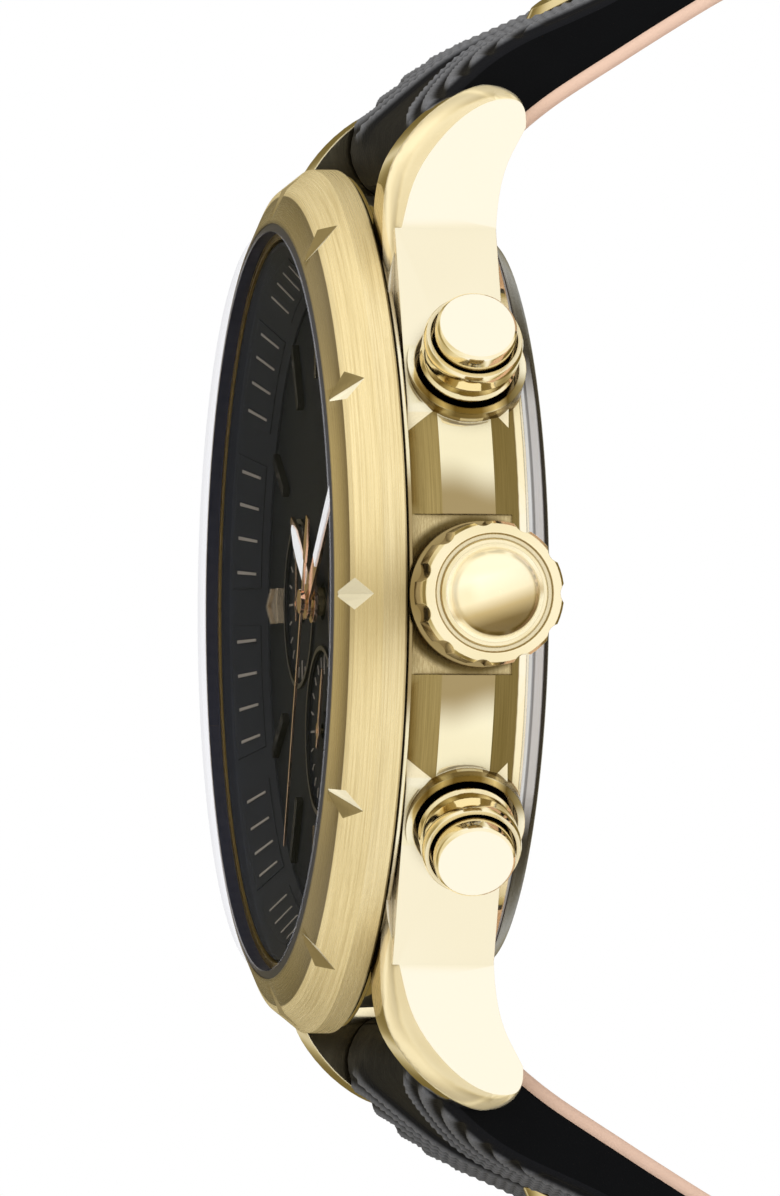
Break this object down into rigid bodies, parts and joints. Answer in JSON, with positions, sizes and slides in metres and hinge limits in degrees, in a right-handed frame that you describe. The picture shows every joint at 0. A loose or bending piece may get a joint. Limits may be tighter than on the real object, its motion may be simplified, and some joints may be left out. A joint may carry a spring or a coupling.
{
  "type": "chronograph wristwatch",
  "caption": "Round chronograph wristwatch with notched bezel, faceted lugs, fluted crown, two round pushers and a padded leather strap with a pin buckle.",
  "frame": {"origin": "at the centre of the case back's flat outer face, on the axis of the centre hands", "axes": "-Y out of the dial towards the viewer, +Z towards 12 o'clock, +X towards 3 o'clock (the crown)"},
  "size_m": [0.0492, 0.0816, 0.0746],
  "materials": {
    "gold_polished": "mirror polished pale gold plating",
    "gold_brushed": "brushed pale gold plating",
    "rose_gold": "polished rose gold",
    "steel": "satin steel",
    "crystal": "clear mineral glass",
    "gasket_clear": "translucent nylon",
    "rubber_black": "black rubber",
    "dial_black": "matte black dial",
    "flange_black": "black with printed minute marks",
    "movement_steel": "plain plate steel",
    "movement_brass": "brass wheels",
    "holder_plastic": "white nylon holder",
    "board_green": "circuit board",
    "copper": "enamelled copper winding",
    "leather_black": "black padded calf leather",
    "lining_nude": "nude pink lining leather"
  },
  "bodies": {
    "case": {"case_middle": "gold_polished", "bezel": "gold_brushed", "crystal": "crystal", "crystal_gasket": "gasket_clear", "case_back": "steel", "case_back_gasket": "rubber_black", "flange_ring": "flange_black", "dial": "dial_black", "subdial_rings": "rose_gold", "hour_indices": "gold_polished", "main_plate": "movement_steel", "train_bridge": "movement_steel", "bridge_screws": "steel", "stator": "movement_steel", "coil": "copper", "battery": "steel", "battery_clamp": "movement_steel", "circuit_board": "board_green", "movement_ring": "holder_plastic", "crown_tube": "steel", "stem_gasket": "rubber_black", "pusher_tube_upper": "gold_polished", "pusher_tube_lower": "gold_polished", "pusher_spring_upper": "steel", "pusher_spring_lower": "steel", "spring_bar_12": "steel", "spring_bar_6": "steel"},
    "small_seconds": {"fourth_wheel": "movement_brass", "small_seconds_hand": "rose_gold"},
    "third_wheel": {"third_wheel": "movement_brass"},
    "intermediate_wheel": {"intermediate_wheel": "movement_brass"},
    "rotor": {"rotor": "movement_steel"},
    "minute": {"cannon_pinion": "movement_brass", "minute_hand": "rose_gold"},
    "minute_wheel": {"minute_wheel": "movement_brass"},
    "hour": {"hour_wheel": "movement_brass", "hour_hand": "rose_gold"},
    "hour24": {"hour24_wheel": "movement_brass", "hour24_hand": "rose_gold"},
    "chrono_seconds": {"chrono_seconds_wheel": "movement_brass", "chrono_seconds_hand": "rose_gold"},
    "chrono_minute": {"chrono_minute_wheel": "movement_brass", "chrono_minute_hand": "rose_gold"},
    "clutch": {"sliding_pinion": "movement_steel"},
    "crown": {"crown": "gold_polished", "winding_stem": "steel"},
    "pusher_upper": {"pusher_upper": "gold_polished"},
    "pusher_lower": {"pusher_lower": "gold_polished"},
    "strap_short": {"strap_12": "leather_black", "strap_lining_12": "lining_nude", "strap_stud_12": "gold_polished", "fixed_keeper": "leather_black"},
    "strap_long": {"strap_6": "leather_black", "strap_lining_6": "lining_nude", "strap_stud_6": "gold_polished"},
    "free_keeper": {"free_keeper": "leather_black"},
    "buckle": {"buckle_frame": "gold_polished", "buckle_bar": "steel"},
    "tongue": {"buckle_tongue": "gold_polished"}
  },
  "joints": [
    {"name": "small_seconds_spin", "type": "hinge", "parent": "case", "child": "small_seconds", "pos_m": [0, -0.00885, -0.0066], "axis": [0, 1, 0], "continuous": true},
    {"name": "third_wheel_spin", "type": "hinge", "parent": "case", "child": "third_wheel", "pos_m": [-0.00193, -0.00885, -0.00333], "axis": [0, 1, 0], "continuous": true},
    {"name": "intermediate_spin", "type": "hinge", "parent": "case", "child": "intermediate_wheel", "pos_m": [0.00226, -0.00885, -0.00742], "axis": [0, 1, 0], "continuous": true},
    {"name": "rotor_spin", "type": "hinge", "parent": "case", "child": "rotor", "pos_m": [0.004, -0.00885, -0.00742], "axis": [0, 1, 0], "continuous": true},
    {"name": "minute_spin", "type": "hinge", "parent": "case", "child": "minute", "pos_m": [0, -0.00885, 0], "axis": [0, 1, 0], "continuous": true},
    {"name": "minute_wheel_spin", "type": "hinge", "parent": "case", "child": "minute_wheel", "pos_m": [0.0028, -0.00885, 0], "axis": [0, 1, 0], "continuous": true},
    {"name": "hour_spin", "type": "hinge", "parent": "case", "child": "hour", "pos_m": [0, -0.00885, 0], "axis": [0, 1, 0], "continuous": true},
    {"name": "hour24_spin", "type": "hinge", "parent": "case", "child": "hour24", "pos_m": [0.0066, -0.00885, 0], "axis": [0, 1, 0], "continuous": true},
    {"name": "chrono_seconds_spin", "type": "hinge", "parent": "case", "child": "chrono_seconds", "pos_m": [0, -0.00885, 0], "axis": [0, 1, 0], "continuous": true},
    {"name": "chrono_minute_spin", "type": "hinge", "parent": "case", "child": "chrono_minute", "pos_m": [-0.0066, -0.00885, 0], "axis": [0, 1, 0], "continuous": true},
    {"name": "crown_turn", "type": "hinge", "parent": "case", "child": "clutch", "pos_m": [0.012, -0.00415, 0], "axis": [1, 0, 0], "continuous": true},
    {"name": "crown_pull", "type": "slide", "parent": "clutch", "child": "crown", "axis": [1, 0, 0], "range_m": [0, 0.0015]},
    {"name": "pusher_upper_press", "type": "slide", "parent": "case", "child": "pusher_upper", "axis": [-0.848, 0, -0.5299], "range_m": [0, 0.00105], "deforming": ["pusher_spring_upper"]},
    {"name": "pusher_lower_press", "type": "slide", "parent": "case", "child": "pusher_lower", "axis": [-0.848, 0, 0.5299], "range_m": [0, 0.00105], "deforming": ["pusher_spring_lower"]},
    {"name": "strap_short_swing", "type": "hinge", "parent": "case", "child": "strap_short", "pos_m": [0, -0.00295, 0.023], "axis": [1, 0, 0], "range_deg": [-10, 40]},
    {"name": "strap_long_swing", "type": "hinge", "parent": "case", "child": "strap_long", "pos_m": [0, -0.00295, -0.023], "axis": [-1, 0, 0], "range_deg": [-8, 40]},
    {"name": "free_keeper_slide", "type": "slide", "parent": "strap_short", "child": "free_keeper", "axis": [0, 0.7655, -0.6435], "range_m": [-0.002, 0.003]},
    {"name": "buckle_swing", "type": "hinge", "parent": "strap_short", "child": "buckle", "pos_m": [0, 0.05324, 0.01047], "axis": [1, 0, 0], "range_deg": [-20, 60]},
    {"name": "tongue_swing", "type": "hinge", "parent": "buckle", "child": "tongue", "pos_m": [0, 0.05324, 0.01047], "axis": [1, 0, 0], "range_deg": [0, 60]}
  ],
  "couplings": [
    {"joint": "third_wheel_spin", "follows": "small_seconds_spin", "ratio": -0.125},
    {"joint": "minute_spin", "follows": "small_seconds_spin", "ratio": 0.016667},
    {"joint": "minute_wheel_spin", "follows": "small_seconds_spin", "ratio": -0.0055556},
    {"joint": "hour_spin", "follows": "small_seconds_spin", "ratio": 0.0013889},
    {"joint": "hour24_spin", "follows": "small_seconds_spin", "ratio": 0.00069444},
    {"joint": "intermediate_spin", "follows": "small_seconds_spin", "ratio": -5},
    {"joint": "rotor_spin", "follows": "small_seconds_spin", "ratio": 30},
    {"joint": "chrono_minute_spin", "follows": "chrono_seconds_spin", "ratio": 0.016667}
  ]
}
